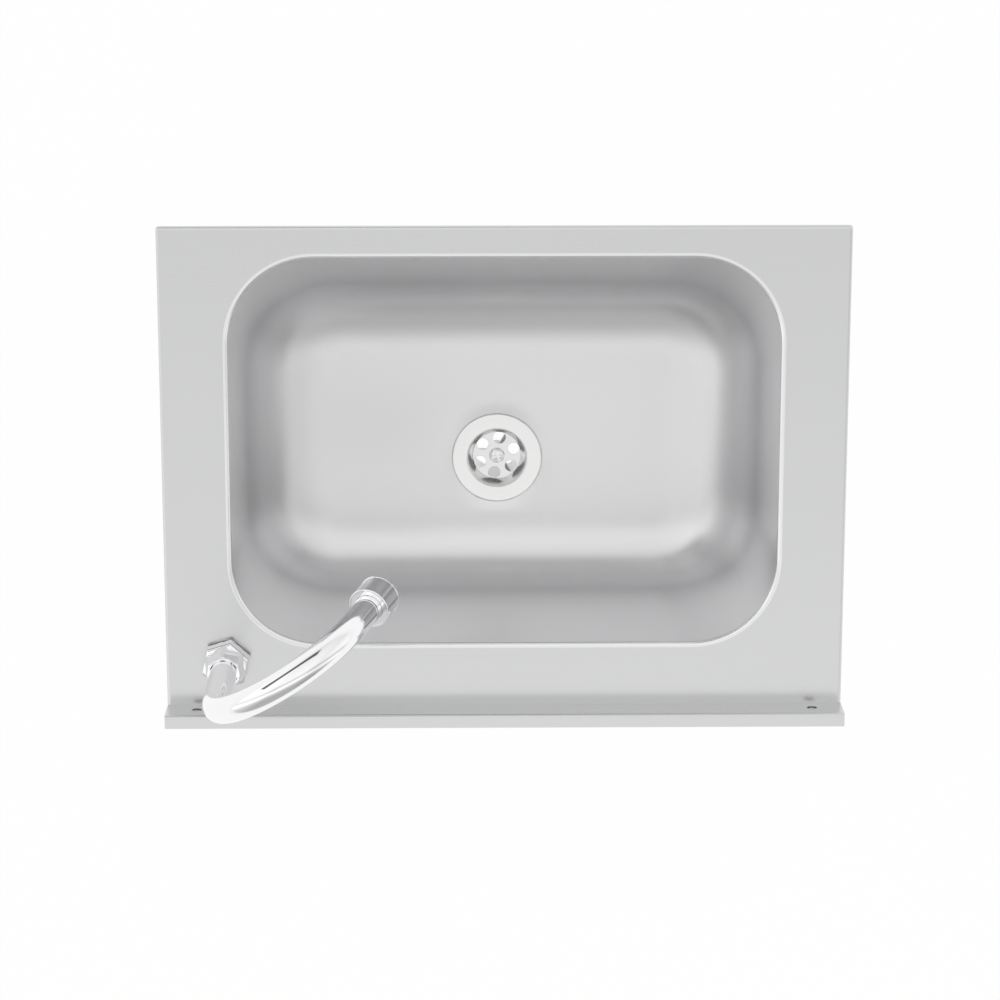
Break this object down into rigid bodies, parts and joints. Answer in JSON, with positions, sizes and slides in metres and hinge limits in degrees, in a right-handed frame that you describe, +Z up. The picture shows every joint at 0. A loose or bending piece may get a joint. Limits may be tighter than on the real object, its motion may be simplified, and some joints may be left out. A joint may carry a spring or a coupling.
{
  "type": "stainless steel hand wash sink",
  "caption": "Wall-hung stainless hand wash basin with a deep rounded bowl, strainer waste, swivel gooseneck spout and a knee panel that opens the water.",
  "frame": {"origin": "middle of the rear rail's back face, on the wall plane, level with the worktop", "axes": "+Z up, +Y towards the wall, +X along the wall, towards the side with the tap"},
  "size_m": [0.4, 0.2947, 0.338],
  "materials": {
    "sheet_steel": "fine satin, brushed along the wall",
    "bowl_steel": "drawn sheet, satin",
    "chrome": "polished plating",
    "waste_steel": "polished stainless",
    "fastener_steel": "plain stainless",
    "brass": "machined",
    "copper": "drawn copper tube, dull",
    "white_plastic": "moulded, matte",
    "dark_plastic": "moulded, matte",
    "black_rubber": "moulded rubber",
    "grey_rubber": "moulded rubber"
  },
  "bodies": {
    "basin": {"worktop": "sheet_steel", "bowl": "bowl_steel", "right_side_panel": "sheet_steel", "left_side_panel": "sheet_steel", "rear_rail": "sheet_steel", "waste_cup": "waste_steel", "waste_screw": "waste_steel", "waste_body": "white_plastic", "upper_waste_seal": "grey_rubber", "lower_waste_seal": "black_rubber", "tap_base": "brass", "gland_nut": "chrome", "base_gasket": "black_rubber", "back_washer": "fastener_steel", "back_nut": "brass", "pivot_pins": "fastener_steel", "pivot_washers": "white_plastic", "pivot_nuts": "fastener_steel", "knee_valve_body": "brass", "valve_bracket": "sheet_steel", "valve_lock_nut": "brass", "upper_pipe_nut": "brass", "upper_pipe_seal": "black_rubber", "lower_pipe_nut": "brass", "lower_pipe_seal": "black_rubber", "feed_pipe": "copper"},
    "spout": {"spout_tube": "chrome", "spout_tail": "brass", "spout_o_rings": "black_rubber", "spout_bush": "white_plastic", "aerator_housing": "chrome", "aerator_insert": "white_plastic", "aerator_washer": "black_rubber"},
    "knee_plate": {"knee_panel": "sheet_steel", "knee_bumper": "black_rubber"},
    "valve_button": {"push_button": "dark_plastic", "push_stem": "fastener_steel"}
  },
  "joints": [
    {"name": "spout_swivel", "type": "hinge", "parent": "basin", "child": "spout", "pos_m": [0.1644, -0.0352, 0], "axis": [0, 0, 1], "range_deg": [-33, 147]},
    {"name": "knee_press", "type": "hinge", "parent": "basin", "child": "knee_plate", "pos_m": [0, -0.27903, -0.035], "axis": [1, 0, 0], "range_deg": [0, 3.4]},
    {"name": "valve_push", "type": "slide", "parent": "basin", "child": "valve_button", "axis": [0, 1, 0], "range_m": [0, 0.008], "stiffness_N_per_m": 1200, "springref_m": -0.01}
  ],
  "couplings": [
    {"joint": "valve_push", "follows": "knee_press", "m_per_rad": 0.13}
  ]
}
